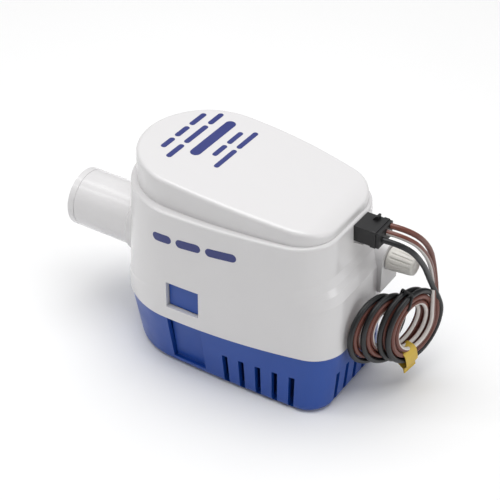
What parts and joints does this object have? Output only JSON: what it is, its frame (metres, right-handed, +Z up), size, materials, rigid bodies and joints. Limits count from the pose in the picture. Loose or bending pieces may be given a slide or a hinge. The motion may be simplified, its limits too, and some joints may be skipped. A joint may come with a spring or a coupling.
{
  "type": "bilge pump",
  "caption": "Submersible boat bilge pump with hose outlet, domed white housing, blue slotted strainer base, side release tabs, test knob and a tied coil of wires.",
  "frame": {"origin": "centre of the bounding box seen from above, at the underside of the strainer base", "axes": "+X from the hose nozzle towards the cable end, +Z up, +Y to the right of someone who stands at the cable end and looks towards the nozzle"},
  "size_m": [0.1782, 0.0766, 0.1019],
  "materials": {
    "white_plastic": "glossy moulded, fine surface waviness",
    "knob_plastic": "semi-gloss moulded, slightly warm white",
    "blue_plastic": "satin moulded",
    "black_rubber": "matt moulded rubber",
    "brown_wire": "extruded PVC insulation",
    "striped_wire": "extruded PVC insulation with a white tracer stripe",
    "black_wire": "extruded PVC insulation",
    "amber_tape": "blank amber tape",
    "grey_plastic": "moulded, matt",
    "steel": "plated steel",
    "magnet": "ferrite",
    "copper": "enamelled copper",
    "carbon": "carbon graphite",
    "brass": "sintered bronze",
    "float_plastic": "sealed moulding",
    "reed_glass": "glass tube on a small board"
  },
  "bodies": {
    "pump_body": {"pump_housing": "white_plastic", "top_cover": "white_plastic", "strainer_base": "blue_plastic", "cable_plug": "black_rubber", "wire_brown": "brown_wire", "wire_brown_white": "striped_wire", "wire_black": "black_wire", "wire_coil": "brown_wire", "coil_tie": "black_wire", "coil_tag": "amber_tape", "cover_gasket": "black_rubber", "volute_plate": "grey_plastic", "volute_plate_screws": "steel", "shaft_seal": "black_rubber", "motor_can": "steel", "motor_end_cap": "grey_plastic", "field_magnet_left": "magnet", "field_magnet_right": "magnet", "brush_pair": "carbon", "lower_bearing": "brass", "upper_bearing": "brass", "float_pivot_pin": "steel", "reed_switch": "reed_glass", "knob_o_ring": "black_rubber", "internal_leads": "black_wire"},
    "rotor": {"motor_shaft": "steel", "impeller": "grey_plastic", "armature_core": "steel", "armature_windings": "copper", "commutator": "copper"},
    "float_arm": {"float": "float_plastic", "float_magnet": "magnet"},
    "knob": {"test_knob": "knob_plastic", "knob_shaft": "grey_plastic"},
    "tab_front": {"release_tab_front": "blue_plastic"},
    "tab_back": {"release_tab_back": "blue_plastic"}
  },
  "joints": [
    {"name": "rotor_spin", "type": "hinge", "parent": "pump_body", "child": "rotor", "pos_m": [-0.009, 0, 0.05], "axis": [0, 0, 1], "continuous": true},
    {"name": "knob_turn", "type": "hinge", "parent": "pump_body", "child": "knob", "pos_m": [0.07, 0.022, 0.059], "axis": [-1, 0, 0], "range_deg": [0, 60]},
    {"name": "float_lift", "type": "hinge", "parent": "pump_body", "child": "float_arm", "pos_m": [0.0275, 0, 0.05], "axis": [0, -1, 0], "range_deg": [0, 18]},
    {"name": "tab_front_press", "type": "hinge", "parent": "pump_body", "child": "tab_front", "pos_m": [0, -0.0296, 0.004], "axis": [-1, 0, 0], "range_deg": [0, 3.5], "stiffness_Nm_per_rad": 4},
    {"name": "tab_back_press", "type": "hinge", "parent": "pump_body", "child": "tab_back", "pos_m": [0, 0.0296, 0.004], "axis": [1, 0, 0], "range_deg": [0, 3.5], "stiffness_Nm_per_rad": 4}
  ],
  "couplings": [
    {"joint": "float_lift", "follows": "knob_turn", "ratio": 0.3}
  ]
}
